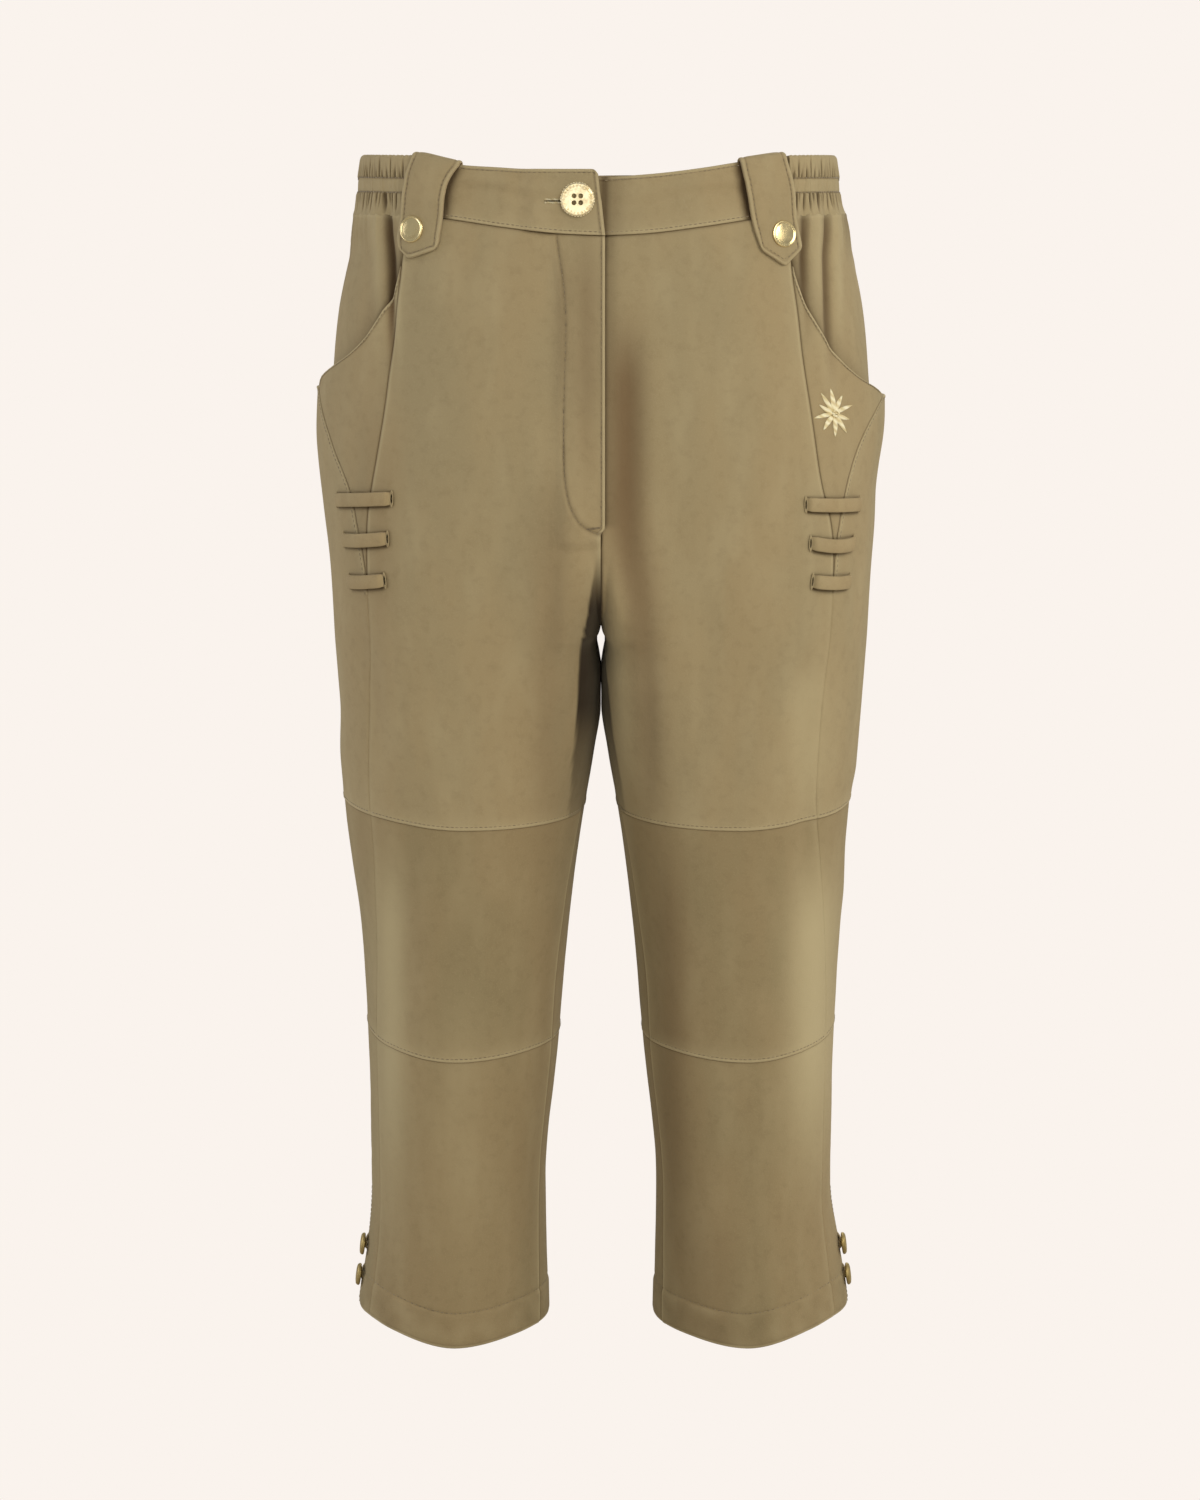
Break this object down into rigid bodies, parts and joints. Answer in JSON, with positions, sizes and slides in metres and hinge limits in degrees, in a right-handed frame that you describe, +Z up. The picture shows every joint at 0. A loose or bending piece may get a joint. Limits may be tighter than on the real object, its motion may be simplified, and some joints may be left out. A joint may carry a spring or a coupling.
{
  "type": "lederhosen",
  "caption": "Women's three-quarter suede lederhosen with elastic waist inserts, buttoned fly, slanted pockets, leather strips and buttoned side vents, filled out as worn and hollow.",
  "frame": {"origin": "middle of the waist, at the height of the top of the band at the sides", "axes": "+Z up, the front faces -Y, the wearer's left is +X"},
  "size_m": [0.3946, 0.244, 0.8384],
  "materials": {
    "suede": "napped nubuck, khaki",
    "leather_strip": "smooth, cut edges",
    "brass": "pale gold, cast",
    "zip_tape": "woven tape"
  },
  "bodies": {
    "root": {"waistband_front_r": "suede", "waistband_elastic_r": "suede", "waistband_front_l": "suede", "waistband_elastic_l": "suede", "waistband_back": "suede", "front_thigh_r": "suede", "hip_r": "suede", "pocket_inset_r": "suede", "side_thigh_r": "suede", "back_thigh_r": "suede", "knee_front_r": "suede", "knee_side_r": "suede", "knee_back_r": "suede", "shin_front_r": "suede", "shin_side_r": "suede", "shin_back_r": "suede", "waist_tab_r": "suede", "front_thigh_l": "suede", "hip_l": "suede", "pocket_inset_l": "suede", "side_thigh_l": "suede", "back_thigh_l": "suede", "knee_front_l": "suede", "knee_side_l": "suede", "knee_back_l": "suede", "shin_front_l": "suede", "shin_side_l": "suede", "shin_back_l": "suede", "waist_tab_l": "suede", "fly_zip": "zip_tape", "snap_r": "brass", "strap_r_1": "leather_strip", "strap_r_2": "leather_strip", "strap_r_3": "leather_strip", "vent_button_r_1": "brass", "vent_loop_r_1": "leather_strip", "vent_button_r_2": "brass", "vent_loop_r_2": "leather_strip", "snap_l": "brass", "strap_l_1": "leather_strip", "strap_l_2": "leather_strip", "strap_l_3": "leather_strip", "vent_button_l_1": "brass", "vent_loop_l_1": "leather_strip", "vent_button_l_2": "brass", "vent_loop_l_2": "leather_strip", "waist_button": "brass"}
  },
  "joints": []
}
